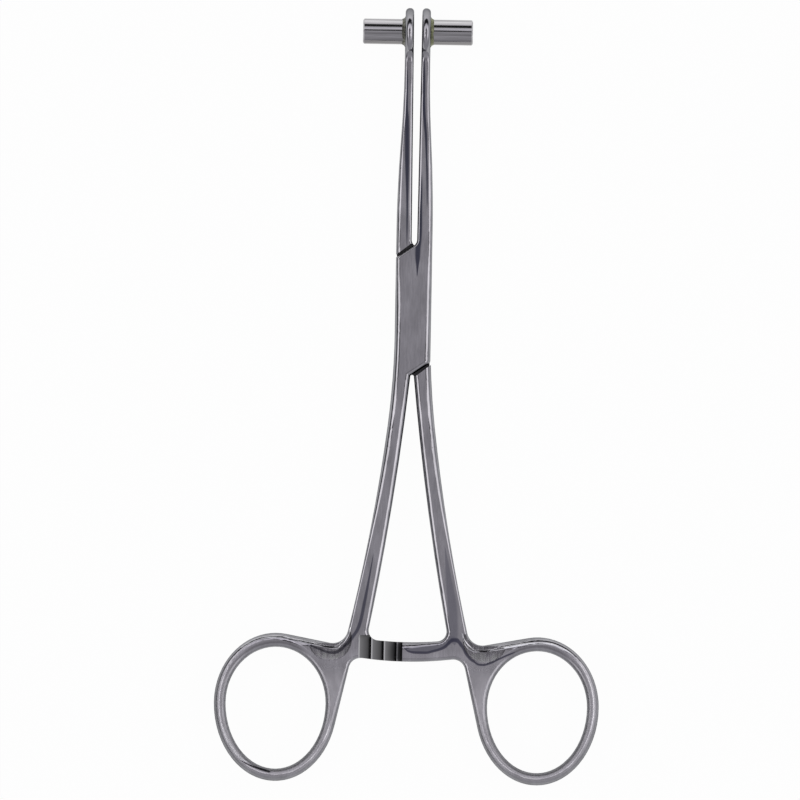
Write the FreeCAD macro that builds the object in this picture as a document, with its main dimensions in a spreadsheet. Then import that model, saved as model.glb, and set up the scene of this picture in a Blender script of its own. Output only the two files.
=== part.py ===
import FreeCAD, Part
import math
import os
import Sketcher

# Ring-handled piercing forceps with a box lock, a ratchet and two guide tubes.
# Lengths are in millimetres. +Y runs from the pivot to the jaw tips, +X to the right,
# +Z up along the pivot axis. The origin lies where the pivot axis meets the underside
# of the box. Every outline is drawn about the mid-plane, which lies half a box up.

DRIVING_SIZES = [
    # the box of the joint
    ("box_width", 7.4),
    ("box_thickness", 5.6),
    ("box_flat", 14.0),
    ("seam_angle", 34.0),
    ("seam_distance", 11.0),
    ("shoulder_angle", 37.5),
    ("shoulder_distance", 11.2),
    ("crotch_radius", 1.5),
    # the tenon that passes through the box, and the slot that it turns in
    ("tenon_thickness", 2.34),
    ("tenon_width", 5.2),
    ("tenon_lean", 9.0),
    ("tenon_side_inset", 0.15),
    ("tenon_shoulder_reach", 11.5),
    ("tenon_root_reach", 14.2),
    ("tenon_root_offset", 0.35),
    ("slot_face_clearance", 0.03),
    ("slot_side_clearance", 0.1),
    ("slot_root_clearance", 0.6),
    ("close_over_travel", 1.7),
    ("open_travel", 40.0),
    # the pivot pin
    ("pin_diameter", 3.0),
    ("pin_running_clearance", 0.03),
    # the jaws
    ("tube_centre_reach", 57.0),
    ("tip_pad_radius", 4.9),
    ("neck_thickness", 4.0),
    ("neck_blend_radius", 3.0),
    ("jaw_back_at_tip", 2.6),
    ("jaw_gap_at_tip", 1.72),
    ("jaw_gap_at_crotch", 1.1),
    ("jaw_taper_start", 16.0),
    ("jaw_turn_before_tube", 22.0),
    ("jaw_end_before_tube", 7.0),
    # the shanks
    ("shank_flare_start", 4.8),
    ("shank_flare_end", 24.0),
    ("shank_flare", 1.15),
    ("shank_inner_start", 0.35),
    ("shank_inner_radius", 575.0),
    ("shank_inner_end", 8.85),
    ("notch_offset", 12.95),
    ("notch_reach", 69.05),
    ("notch_radius", 3.2),
    ("flank_offset", 15.9),
    ("flank_above_notch", 1.05),
    ("flank_radius", 4.5),
    ("flank_slope", 7.0),
    # the ratchet arms, whose edges are arcs about the pivot
    ("arm_above_notch", 0.95),
    ("arm_width", 4.0),
    ("arm_overlap", 1.0),
    ("arm_top_corner_radius", 2.0),
    ("arm_root_offset", 11.4),
    ("arm_bottom_corner_radius", 2.5),
    ("tooth_height", 0.87),
    ("tooth_pitch", 2.6),
    ("first_tooth_offset", 7.4),
    ("tooth_recess_above_arm", 1.3),
    ("tooth_running_clearance", 0.03),
    # the finger rings: two half ellipses on one centre, blunter above than below
    ("ring_offset", 26.8),
    ("ring_below_notch", 11.95),
    ("ring_half_width", 12.65),
    ("ring_upper_height", 14.35),
    ("ring_lower_height", 16.0),
    ("ring_side_wall", 2.4),
    ("ring_top_wall", 2.85),
    ("ring_bottom_wall", 2.5),
    ("ring_end_thickness", 4.5),
    # how far the long edges are rounded
    ("tip_rounding", 0.85),
    ("tip_inner_rounding", 0.75),
    ("jaw_end_rounding", 0.5),
    ("jaw_rounding", 0.6),
    ("side_rounding", 0.8),
    ("shank_rounding", 1.15),
    ("notch_side_rounding", 1.1),
    ("notch_rounding", 1.6),
    ("ring_top_rounding", 1.3),
    ("ring_rounding", 1.2),
    ("ring_inner_side_rounding", 1.0),
    ("arm_bottom_rounding", 0.7),
    ("jaw_inner_rounding", 0.5),
    ("shank_inner_rounding", 0.95),
    ("corner_rounding", 0.8),
    ("arm_top_rounding", 1.5),
    ("hole_rounding", 0.9),
    # the guide tubes and their brazing
    ("tube_outer_diameter", 5.2),
    ("tube_bore", 4.1),
    ("tube_end_offset", 11.25),
    ("tube_end_chamfer", 0.25),
    ("braze_leg", 0.55),
    # stock that the side outline trims off the blank, above, below and at the ends
    ("trim_stock", 1.0),
]

# Sizes that follow from the driving ones, as formulas of a second sheet.
FOLLOWING_SIZES = [
    ("mid_plane", "Sizes.box_thickness / 2"),
    ("box_side", "Sizes.box_width / 2"),
    ("box_back", "-Sizes.box_flat"),
    ("half_thickness", "Sizes.box_thickness / 2"),
    ("blank_thickness", "2 * (Sizes.tip_pad_radius + Sizes.trim_stock)"),
    # jaw
    ("tip_end", "Sizes.tube_centre_reach + Sizes.tip_pad_radius"),
    ("blank_end", "tip_end + Sizes.trim_stock"),
    ("gap_tip", "Sizes.jaw_gap_at_tip / 2"),
    ("gap_crotch", "Sizes.jaw_gap_at_crotch / 2"),
    ("jaw_taper_turn", "Sizes.tube_centre_reach - Sizes.jaw_turn_before_tube"),
    ("jaw_taper_end", "Sizes.tube_centre_reach - Sizes.jaw_end_before_tube"),
    ("jaw_turn_run", "jaw_taper_turn - Sizes.jaw_taper_start"),
    ("jaw_taper_run", "jaw_taper_end - Sizes.jaw_taper_start"),
    ("jaw_turn_in", "(box_side - Sizes.jaw_back_at_tip) * jaw_turn_run / jaw_taper_run"),
    ("jaw_turn_offset", "box_side - jaw_turn_in"),
    ("jaw_first_radius", "(jaw_turn_in ^ 2 + jaw_turn_run ^ 2) / (2 * jaw_turn_in)"),
    ("jaw_end_in", "jaw_turn_offset - Sizes.jaw_back_at_tip"),
    ("jaw_end_run", "jaw_taper_end - jaw_taper_turn"),
    ("jaw_second_radius", "(jaw_end_in ^ 2 + jaw_end_run ^ 2) / (2 * jaw_end_in)"),
    # seams: lines at the seam angle, at one distance from the pivot
    ("seam_sine", "sin(Sizes.seam_angle * 1deg)"),
    ("seam_cosine", "cos(Sizes.seam_angle * 1deg)"),
    ("crotch_reach", "(Sizes.seam_distance + gap_crotch * seam_sine) / seam_cosine"),
    ("front_seam_side_reach", "(Sizes.seam_distance - box_side * seam_sine) / seam_cosine"),
    ("back_seam_side_reach", "-front_seam_side_reach"),
    ("back_seam_inner_reach", "-(Sizes.seam_distance + Sizes.shank_inner_start * seam_sine) / seam_cosine"),
    # shank, notch and web
    ("flare_start_reach", "-Sizes.shank_flare_start"),
    ("flare_end_reach", "-Sizes.shank_flare_end"),
    ("shank_offset", "box_side + Sizes.shank_flare"),
    ("flare_run", "Sizes.shank_flare_end - Sizes.shank_flare_start"),
    ("flare_radius", "(Sizes.shank_flare ^ 2 + flare_run ^ 2) / (2 * Sizes.shank_flare)"),
    ("flare_lean", "2 * atan(Sizes.shank_flare / flare_run)"),
    ("shank_out", "Sizes.notch_offset - shank_offset"),
    ("shank_run", "Sizes.notch_reach - Sizes.shank_flare_end"),
    ("shank_chord", "sqrt(shank_out ^ 2 + shank_run ^ 2)"),
    ("shank_outer_radius", "shank_chord / (2 * sin(atan(shank_out / shank_run) - flare_lean))"),
    ("notch_y", "-Sizes.notch_reach"),
    ("inner_end_y", "notch_y - Sizes.arm_above_notch"),
    # ratchet arm
    ("arm_inner_radius", "Sizes.notch_reach - Sizes.arm_above_notch"),
    ("arm_outer_radius", "arm_inner_radius + Sizes.arm_width"),
    ("arm_tip", "-Sizes.arm_overlap"),
    ("arm_tip_top", "-sqrt(arm_inner_radius ^ 2 - Sizes.arm_overlap ^ 2)"),
    ("arm_tip_bottom", "-sqrt(arm_outer_radius ^ 2 - Sizes.arm_overlap ^ 2)"),
    ("arm_inside", "(Sizes.notch_offset + Sizes.shank_inner_end) / 2"),
    ("arm_inside_y", "-sqrt(arm_inner_radius ^ 2 - arm_inside ^ 2)"),
    ("arm_root_y", "-sqrt(arm_outer_radius ^ 2 - Sizes.arm_root_offset ^ 2)"),
    # ring, and the web's tangents to it
    ("ring_y", "notch_y - Sizes.ring_below_notch"),
    ("ring_outer_side", "Sizes.ring_offset + Sizes.ring_half_width"),
    ("ring_hole_half_width", "Sizes.ring_half_width - Sizes.ring_side_wall"),
    ("ring_hole_upper_height", "Sizes.ring_upper_height - Sizes.ring_top_wall"),
    ("ring_hole_lower_height", "Sizes.ring_lower_height - Sizes.ring_bottom_wall"),
    ("upper_u", "(Sizes.notch_offset - Sizes.ring_offset) / Sizes.ring_half_width"),
    ("upper_v", "(notch_y - ring_y) / Sizes.ring_upper_height"),
    ("upper_angle", "atan2(upper_v; upper_u) - acos(1 / sqrt(upper_u ^ 2 + upper_v ^ 2))"),
    ("upper_tangent_x", "Sizes.ring_offset + Sizes.ring_half_width * cos(upper_angle)"),
    ("upper_tangent_y", "ring_y + Sizes.ring_upper_height * sin(upper_angle)"),
    ("lower_u", "(Sizes.arm_root_offset - Sizes.ring_offset) / Sizes.ring_half_width"),
    ("lower_v", "(arm_root_y - ring_y) / Sizes.ring_lower_height"),
    ("lower_angle", "atan2(lower_v; lower_u) + acos(1 / sqrt(lower_u ^ 2 + lower_v ^ 2))"),
    ("lower_tangent_x", "Sizes.ring_offset + Sizes.ring_half_width * cos(lower_angle)"),
    ("lower_tangent_y", "ring_y + Sizes.ring_lower_height * sin(lower_angle)"),
    # side outline
    ("neck_half", "Sizes.neck_thickness / 2"),
    ("neck_reach", "Sizes.tube_centre_reach - sqrt(Sizes.tip_pad_radius ^ 2 - neck_half ^ 2)"),
    ("neck_drop", "half_thickness - neck_half"),
    ("jaw_run", "neck_reach - Sizes.box_flat"),
    ("jaw_side_radius", "(neck_drop ^ 2 + jaw_run ^ 2) / (2 * neck_drop)"),
    ("ring_end_half", "Sizes.ring_end_thickness / 2"),
    ("ring_end_y", "ring_y - Sizes.ring_lower_height"),
    ("handle_end_y", "ring_end_y - Sizes.trim_stock"),
    ("handle_drop", "half_thickness - ring_end_half"),
    ("handle_run", "box_back - handle_end_y"),
    ("handle_side_radius", "(handle_drop ^ 2 + handle_run ^ 2) / (2 * handle_drop)"),
    ("flank_y", "notch_y + Sizes.flank_above_notch"),
    ("flank_drop", "(box_back - flank_y) ^ 2 / (2 * handle_side_radius)"),
    ("flank_depth", "Sizes.flank_radius * tan(Sizes.flank_slope * 1deg)"),
    ("flank_apex", "half_thickness - flank_drop - flank_depth"),
    ("flank_tool_height", "flank_depth + Sizes.trim_stock"),
    ("flank_tool_radius", "flank_tool_height / tan(Sizes.flank_slope * 1deg)"),
    ("frame_half", "Sizes.tip_pad_radius + 2 * Sizes.trim_stock"),
    ("frame_front", "blank_end + Sizes.trim_stock"),
    ("frame_back", "handle_end_y - Sizes.trim_stock"),
    ("frame_side", "ring_outer_side + Sizes.trim_stock"),
    # shoulders of the through half
    ("shoulder_sine", "sin(Sizes.shoulder_angle * 1deg)"),
    ("shoulder_cosine", "cos(Sizes.shoulder_angle * 1deg)"),
    ("clear_side", "box_side + 4 * Sizes.trim_stock"),
    ("shoulder_high", "(Sizes.shoulder_distance + clear_side * shoulder_sine) / shoulder_cosine"),
    ("shoulder_low", "(Sizes.shoulder_distance - clear_side * shoulder_sine) / shoulder_cosine"),
    # tenon: a bar through the pivot, leaning to the left at the top
    ("tenon_half", "Sizes.tenon_width / 2"),
    ("tenon_side", "box_side - Sizes.tenon_side_inset"),
    ("tenon_side_y", "(tenon_half - tenon_side * cos(Sizes.tenon_lean * 1deg))"
                     " / sin(Sizes.tenon_lean * 1deg)"),
    ("tenon_top_x", "(tenon_half - Sizes.tenon_shoulder_reach * sin(Sizes.tenon_lean * 1deg))"
                    " / cos(Sizes.tenon_lean * 1deg)"),
    # slot: the room that the tenon sweeps, from past closed to wide open
    ("slot_half", "tenon_half + Sizes.slot_side_clearance"),
    ("closed_angle", "(Sizes.tenon_lean - Sizes.close_over_travel) * 1deg"),
    ("open_angle", "(Sizes.tenon_lean + Sizes.open_travel) * 1deg"),
    ("apex_angle", "(closed_angle + open_angle) / 2"),
    ("apex_radius", "slot_half / cos((open_angle - closed_angle) / 2)"),
    ("apex_x", "apex_radius * cos(apex_angle)"),
    ("apex_y", "apex_radius * sin(apex_angle)"),
    ("slot_mouth_y", "(slot_half - clear_side * cos(open_angle)) / sin(open_angle)"),
    ("slot_top_x", "(slot_half - Sizes.tenon_shoulder_reach * sin(closed_angle)) / cos(closed_angle)"),
    ("slot_root_x", "Sizes.slot_root_clearance - Sizes.tenon_root_offset"),
    ("slot_height", "Sizes.tenon_thickness + 2 * Sizes.slot_face_clearance"),
    # pin
    ("pin_radius", "Sizes.pin_diameter / 2"),
    ("tenon_bore_radius", "pin_radius + Sizes.pin_running_clearance"),
    # ratchet teeth
    ("tooth_root", "Sizes.tooth_height + Sizes.tooth_running_clearance"),
    ("tooth_recess_offset", "Sizes.first_tooth_offset + Sizes.tooth_pitch"),
    ("tooth_recess_reach", "arm_inner_radius - Sizes.tooth_recess_above_arm"),
    ("recess_bottom", "arm_outer_radius + Sizes.trim_stock"),
    ("recess_middle", "(recess_bottom + tooth_recess_reach) / 2"),
    # tubes, and the braze that runs in a concave quarter circle round each root
    ("tube_radius", "Sizes.tube_outer_diameter / 2"),
    ("bore_radius", "Sizes.tube_bore / 2"),
    ("mouth_outer_radius", "tube_radius - Sizes.tube_end_chamfer"),
    ("mouth_inner_radius", "bore_radius + Sizes.tube_end_chamfer"),
    ("tube_chamfer_start", "Sizes.tube_end_offset - Sizes.tube_end_chamfer"),
    ("braze_outer_radius", "tube_radius + Sizes.braze_leg"),
    ("braze_end", "Sizes.jaw_back_at_tip + Sizes.braze_leg"),
]

TOOTH_COUNT = 4
# how near two lengths or two places are to count as the same, in millimetres,
# and two directions by the sine between them
SAME_LENGTH = 1e-6
SAME_PLACE = 1e-4
SAME_DIRECTION = 0.1
# edges at which two faces meet by more than this, in degrees, are rounded
SHARP_ANGLE = 30

for tooth in range(TOOTH_COUNT + 1):
    FOLLOWING_SIZES.append((f"tooth_{tooth}_x", f"-Sizes.first_tooth_offset + {tooth} * Sizes.tooth_pitch"))

doc = FreeCAD.newDocument("piercing_forceps")


def fill_sheet(name, rows, prefix):
    """Write named rows to a sheet: the name in column A, the value in column B."""
    sheet = doc.addObject("Spreadsheet::Sheet", name)
    for row, (alias, value) in enumerate(rows, start=1):
        sheet.set(f"A{row}", alias)
        sheet.setAlias(f"B{row}", alias)
        sheet.set(f"B{row}", f"{prefix}{value}")
    return sheet


sizes = fill_sheet("Sizes", DRIVING_SIZES, "")
doc.recompute()
worked = fill_sheet("Worked", FOLLOWING_SIZES, "=")
doc.recompute()


def number(name):
    """The present value of 'alias' or '-alias', in millimetres or degrees."""
    alias = name.lstrip("-")
    sheet = sizes if alias in dict(DRIVING_SIZES) else worked
    value = sheet.get(alias)
    value = float(getattr(value, "Value", value))
    return -value if name.startswith("-") else value


def expression(name):
    """The sheet expression of 'alias' or '-alias'."""
    alias = name.lstrip("-")
    sheet = "Sizes" if alias in dict(DRIVING_SIZES) else "Worked"
    return f"{'-' if name.startswith('-') else ''}{sheet}.{alias}"


def mirrored(name, side):
    """The name itself on the right side, its opposite on the left."""
    if side > 0:
        return name
    return name[1:] if name.startswith("-") else f"-{name}"


def new_body(name):
    """A body whose own planes lie on the instrument's mid-plane."""
    body = doc.addObject("PartDesign::Body", name)
    body.setExpression("Placement.Base.z", expression("mid_plane"))
    return body


def new_sketch(body, name, plane="XY_Plane"):
    """A sketch on one of the body's own origin planes."""
    sketch = body.newObject("Sketcher::SketchObject", name)
    support = [feature for feature in body.Origin.OriginFeatures if feature.Role == plane][0]
    sketch.AttachmentSupport = [(support, "")]
    sketch.MapMode = "FlatFace"
    return sketch


def constrain(sketch, kind, *where, name=None):
    """Add a constraint and, where a size name is given, bind its value to the sheet."""
    if name is None:
        return sketch.addConstraint(Sketcher.Constraint(kind, *where))
    index = sketch.addConstraint(Sketcher.Constraint(kind, *where, number(name)))
    sketch.setExpression(f"Constraints[{index}]", expression(name))
    return index


def place_point(sketch, geometry, end, x_name, y_name):
    """Tie one end of a line or arc to the sketch's origin by two named sizes."""
    constrain(sketch, "DistanceX", -1, 1, geometry, end, name=x_name)
    constrain(sketch, "DistanceY", -1, 1, geometry, end, name=y_name)


def arc_between(start, end, radius, turn, long_way):
    """Circle centre for an arc that turns left (1) or right (-1) on its way to the end."""
    across = end - start
    half = across.Length / 2
    rise = math.sqrt(max(radius ** 2 - half ** 2, 0.0))
    normal = FreeCAD.Vector(-across.y, across.x, 0).normalize()
    reach = -rise if long_way else rise
    return (start + end) / 2 + normal * reach * turn


def draw_outline(sketch, corners):
    """Closed outline. A corner is (x, y), reached by a line, or (x, y, radius, turn)
    or (x, y, radius, turn, 'long'), reached by an arc of that radius."""
    points = [FreeCAD.Vector(number(corner[0]), number(corner[1]), 0) for corner in corners]
    ends = []
    for index, corner in enumerate(corners):
        start, end = points[index - 1], points[index]
        if len(corner) == 2:
            geometry = sketch.addGeometry(Part.LineSegment(start, end), False)
            first, last = 1, 2
        else:
            radius, turn = number(corner[2]), corner[3]
            centre = arc_between(start, end, radius, turn, "long" in corner)
            circle = Part.Circle(centre, FreeCAD.Vector(0, 0, 1), radius)
            if turn < 0:
                start, end = end, start
            angles = [math.atan2(p.y - centre.y, p.x - centre.x) for p in (start, end)]
            geometry = sketch.addGeometry(Part.ArcOfCircle(circle, *angles), False)
            first, last = (1, 2) if turn > 0 else (2, 1)
            constrain(sketch, "Radius", geometry, name=corner[2])
        place_point(sketch, geometry, last, corner[0], corner[1])
        ends.append((geometry, first, last))
    for index, (geometry, first, _) in enumerate(ends):
        before, _, last = ends[index - 1]
        constrain(sketch, "Coincident", before, last, geometry, first)


def draw_oval(sketch, x_name, y_name, half_width, upper_height, lower_height):
    """Two half ellipses on one centre that meet at their widest."""
    centre = FreeCAD.Vector(number(x_name), number(y_name), 0)
    width = number(half_width)
    sideways = FreeCAD.Vector(-width, 0, 0)
    for height_name, right, left in ((upper_height, 1, 2), (lower_height, 2, 1)):
        upwards = FreeCAD.Vector(0, number(height_name), 0)
        tall = upwards.Length > width
        axes = (upwards, sideways) if tall else (-sideways, upwards)
        ellipse = Part.Ellipse(centre + axes[0], centre + axes[1], centre)
        ends = [centre - sideways, centre + sideways]
        if right == 2:
            ends.reverse()
        first, last = [ellipse.parameter(point) for point in ends]
        arc = sketch.addGeometry(Part.ArcOfEllipse(ellipse, first, last), False)
        sketch.exposeInternalGeometry(arc)
        place_point(sketch, arc, 3, x_name, y_name)
        upright_axis = arc + 1 if tall else arc + 2
        constrain(sketch, "Vertical", upright_axis)
        length = constrain(sketch, "Distance", upright_axis, name=height_name)
        sketch.setDatum(length, 2 * number(height_name))
        sketch.setExpression(f"Constraints[{length}]", f"2 * {expression(height_name)}")
        constrain(sketch, "DistanceY", -1, 1, arc, left, name=y_name)
        constrain(sketch, "DistanceY", -1, 1, arc, right, name=y_name)
        constrain(sketch, "DistanceX", arc, 3, arc, right, name=half_width)


def pad(body, sketch, name, thickness):
    """Extrude a sketch evenly to both sides of its plane."""
    feature = body.newObject("PartDesign::Pad", name)
    feature.Profile = sketch
    feature.SideType = "Symmetric"
    feature.setExpression("Length", thickness)
    return feature


def pocket(body, sketch, name, depth):
    """Cut a sketch evenly to both sides of its plane."""
    feature = body.newObject("PartDesign::Pocket", name)
    feature.Profile = sketch
    feature.SideType = "Symmetric"
    feature.setExpression("Length", depth)
    return feature


def revolve(body, sketch, name, axis):
    """Turn a sketch once round one of its own axes."""
    feature = body.newObject("PartDesign::Revolution", name)
    feature.Profile = sketch
    feature.ReferenceAxis = (sketch, [axis])
    feature.Angle = 360
    return feature


def upright_edges(shape, x, y, count=1):
    """Names of the upright edges that stand nearest to a point of the plan."""
    found = []
    for index, edge in enumerate(shape.Edges, start=1):
        low, high = edge.firstVertex().Point, edge.lastVertex().Point
        if math.hypot(low.x - high.x, low.y - high.y) < SAME_LENGTH:
            found.append((math.hypot(low.x - x, low.y - y), f"Edge{index}"))
    return [name for _, name in sorted(found)[:count]]


def neck_edges(shape):
    """Names of the straight crosswise edges where a jaw's tip pad meets its blade."""
    reach = number("neck_reach")
    found = []
    for index, edge in enumerate(shape.Edges, start=1):
        ends = [vertex.Point for vertex in edge.Vertexes]
        if isinstance(edge.Curve, Part.Line) and all(abs(end.y - reach) < SAME_PLACE for end in ends):
            found.append(f"Edge{index}")
    return found


def round_corner(body, name, edges, radius_name):
    """Round some edges of the body's last feature."""
    base = body.Tip
    feature = body.newObject("PartDesign::Fillet", name)
    feature.Base = (base, edges)
    feature.setExpression("Radius", expression(radius_name))
    doc.recompute()
    return feature


def forged_blank(name, side):
    """One half as forged: a jaw on one side (1 right, -1 left), the solid box,
    and the shank, ratchet arm and finger ring on the other side."""
    body = new_body(name)

    def jaw(x_name):
        return mirrored(x_name, side)

    def handle(x_name):
        return mirrored(x_name, -side)

    # the bar from the tip to the notch
    bar = new_sketch(body, f"{name}_bar_outline")
    draw_outline(bar, [
        (jaw("gap_tip"), "blank_end"),
        (jaw("gap_crotch"), "crotch_reach"),
        (handle("box_side"), "front_seam_side_reach"),
        (handle("box_side"), "flare_start_reach"),
        (handle("shank_offset"), "flare_end_reach", "flare_radius", -side),
        (handle("notch_offset"), "notch_y", "shank_outer_radius", -side),
        (handle("shank_inner_end"), "inner_end_y"),
        (handle("shank_inner_start"), "back_seam_inner_reach", "shank_inner_radius", side),
        (jaw("box_side"), "back_seam_side_reach"),
        (jaw("box_side"), "jaw_taper_start"),
        (jaw("jaw_turn_offset"), "jaw_taper_turn", "jaw_first_radius", side),
        (jaw("jaw_back_at_tip"), "jaw_taper_end", "jaw_second_radius", -side),
        (jaw("jaw_back_at_tip"), "blank_end"),
    ])
    pad(body, bar, f"{name}_bar", expression("blank_thickness"))

    # the ring, the web that runs tangent to it, and the ratchet arm
    ring = new_sketch(body, f"{name}_ring_outline")
    draw_oval(ring, handle("ring_offset"), "ring_y",
              "ring_half_width", "ring_upper_height", "ring_lower_height")
    pad(body, ring, f"{name}_ring", expression("blank_thickness"))
    web = new_sketch(body, f"{name}_web_outline")
    draw_outline(web, [
        (handle("notch_offset"), "notch_y"),
        (handle("upper_tangent_x"), "upper_tangent_y"),
        (handle("ring_offset"), "ring_y"),
        (handle("lower_tangent_x"), "lower_tangent_y"),
        (handle("arm_root_offset"), "arm_root_y"),
    ])
    pad(body, web, f"{name}_web", expression("blank_thickness"))
    arm = new_sketch(body, f"{name}_arm_outline")
    draw_outline(arm, [
        (handle("arm_tip"), "arm_tip_top"),
        (handle("arm_inside"), "arm_inside_y", "arm_inner_radius", -side),
        (handle("notch_offset"), "notch_y"),
        (handle("arm_root_offset"), "arm_root_y"),
        (handle("arm_tip"), "arm_tip_bottom", "arm_outer_radius", side),
    ])
    pad(body, arm, f"{name}_arm", expression("blank_thickness"))

    # rounded inside corners
    doc.recompute()
    at_notch = upright_edges(body.Tip.Shape, -side * number("notch_offset"), number("notch_y"))
    round_corner(body, f"{name}_notch", at_notch, "notch_radius")
    at_root = upright_edges(body.Tip.Shape, -side * number("arm_root_offset"), number("arm_root_y"))
    round_corner(body, f"{name}_arm_root", at_root, "arm_bottom_corner_radius")
    at_arm = upright_edges(body.Tip.Shape, -side * number("shank_inner_end"), number("arm_inside_y"))
    round_corner(body, f"{name}_arm_corner", at_arm, "arm_top_corner_radius")
    at_crotch = upright_edges(body.Tip.Shape, side * number("gap_crotch"), number("crotch_reach"))
    round_corner(body, f"{name}_crotch", at_crotch, "crotch_radius")

    # the finger hole
    hole = new_sketch(body, f"{name}_hole_outline")
    draw_oval(hole, handle("ring_offset"), "ring_y",
              "ring_hole_half_width", "ring_hole_upper_height", "ring_hole_lower_height")
    pocket(body, hole, f"{name}_hole", f"2 * {expression('blank_thickness')}")

    # the side outline: round tip pad, slim neck, full box, handle thinning to the ring
    profile = new_sketch(body, f"{name}_side_outline", "YZ_Plane")
    draw_outline(profile, [
        ("frame_front", "frame_half"),
        ("frame_back", "frame_half"),
        ("frame_back", "-frame_half"),
        ("frame_front", "-frame_half"),
    ])
    draw_outline(profile, [
        ("box_back", "half_thickness"),
        ("handle_end_y", "ring_end_half", "handle_side_radius", 1),
        ("handle_end_y", "-ring_end_half"),
        ("box_back", "-half_thickness", "handle_side_radius", 1),
        ("box_flat", "-half_thickness"),
        ("neck_reach", "-neck_half", "jaw_side_radius", 1),
        ("neck_reach", "neck_half", "tip_pad_radius", 1, "long"),
        ("box_flat", "half_thickness", "jaw_side_radius", 1),
    ])
    pocket(body, profile, f"{name}_sides", f"2 * {expression('frame_side')}")
    doc.recompute()

    at_neck = neck_edges(body.Tip.Shape)
    round_corner(body, f"{name}_neck", at_neck, "neck_blend_radius")
    return body


def edge_stations():
    """Places along the outer and the inner outline, each with its rounding there."""
    notch_radius = number("notch_radius")
    outer = [
        ("jaw_back_at_tip", "neck_reach", "tip_rounding"),
        ("jaw_back_at_tip", "jaw_taper_end", "jaw_end_rounding"),
        ("jaw_turn_offset", "jaw_taper_turn", "jaw_rounding"),
        ("box_side", "jaw_taper_start", "side_rounding"),
        ("shank_offset", "flare_end_reach", "shank_rounding"),
        ("notch_offset", "notch_y", "notch_rounding"),
        ("upper_tangent_x", "upper_tangent_y", "ring_top_rounding"),
        ("ring_outer_side", "ring_y", "ring_rounding"),
        ("lower_tangent_x", "lower_tangent_y", "ring_inner_side_rounding"),
        ("arm_root_offset", "arm_root_y", "arm_bottom_rounding"),
        ("arm_tip", "arm_tip_bottom", "arm_bottom_rounding"),
    ]
    inner = [
        ("gap_tip", "neck_reach", "tip_inner_rounding"),
        ("gap_tip", "jaw_taper_end", "jaw_inner_rounding"),
        ("gap_crotch", "crotch_reach", "jaw_inner_rounding"),
        ("shank_inner_start", "back_seam_inner_reach", "shank_inner_rounding"),
        ("arm_inside", "arm_inside_y", "arm_top_rounding"),
        ("arm_tip", "arm_tip_top", "arm_top_rounding"),
    ]
    outer = [(number(x), number(y), number(radius)) for x, y, radius in outer]
    inner = [(number(x), number(y), number(radius)) for x, y, radius in inner]
    notch_x, notch_y = number("notch_offset"), number("notch_y")
    outer.append((notch_x, notch_y + notch_radius, number("notch_side_rounding")))
    outer.append((notch_x + notch_radius, notch_y, number("notch_rounding")))
    corner_y = number("arm_inside_y") + number("arm_top_corner_radius")
    inner.append((number("shank_inner_end"), corner_y, number("corner_rounding")))
    return outer, inner


def outline_of(point):
    """The outline that a point of a long edge belongs to: 'outer', 'hole', 'jaw' for
    the jaw's inner edge and the front seam, or 'shank' for the same at the handle."""
    across, reach = abs(point.x), point.y
    hole_x = (across - number("ring_offset")) / number("ring_half_width")
    above = reach > number("ring_y")
    height = number("ring_upper_height") if above else number("ring_lower_height")
    hole_y = (reach - number("ring_y")) / height
    hole_share = number("ring_hole_half_width") / number("ring_half_width")
    if math.hypot(hole_x, hole_y) < (hole_share + 1) / 2:
        return "hole"
    if math.hypot(across, reach) > number("arm_inner_radius") + number("arm_width") / 2:
        return "outer"
    if reach > number("crotch_reach"):
        middle = (number("gap_tip") + number("jaw_back_at_tip")) / 2
    elif reach > number("back_seam_inner_reach"):
        middle = number("box_side") - number("tenon_side_inset")
    else:
        share = (reach + number("box_flat")) / (number("notch_y") + number("box_flat"))
        middle = number("box_side") / 2
        middle += share * (number("arm_inside") - middle)
    if across > middle:
        return "outer"
    return "jaw" if reach > 0 else "shank"


def is_sharp(shape, edge, point):
    """Whether the two faces at an edge meet there at a clear angle."""
    normals = []
    for face in shape.ancestorsOfType(edge, Part.Face):
        u, v = face.Surface.parameter(point)
        normals.append(face.normalAt(u, v))
    return len(normals) == 2 and math.degrees(normals[0].getAngle(normals[1])) > SHARP_ANGLE


def chain_directions(edges):
    """For each edge of some tangent chains, whether it runs along its chain. A chain
    runs the way that its first edge does."""
    ends = []
    for edge in edges:
        parameters = (edge.FirstParameter, edge.LastParameter)
        ends.append([(edge.valueAt(place), edge.tangentAt(place)) for place in parameters])

    def follows(before, after):
        gap = (before[0] - after[0]).Length
        bend = before[1].cross(after[1]).Length
        return gap < SAME_PLACE and bend < SAME_DIRECTION

    along = {}
    for start in range(len(edges)):
        if start in along:
            continue
        along[start] = True
        waiting = [start]
        while waiting:
            here = waiting.pop()
            tail, head = ends[here] if along[here] else ends[here][::-1]
            for other in range(len(edges)):
                if other in along:
                    continue
                first, last = ends[other]
                if follows(head, first) or follows(tail, last):
                    along[other] = True
                elif follows(head, last) or follows(tail, first):
                    along[other] = False
                else:
                    continue
                waiting.append(other)
    return along


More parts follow.
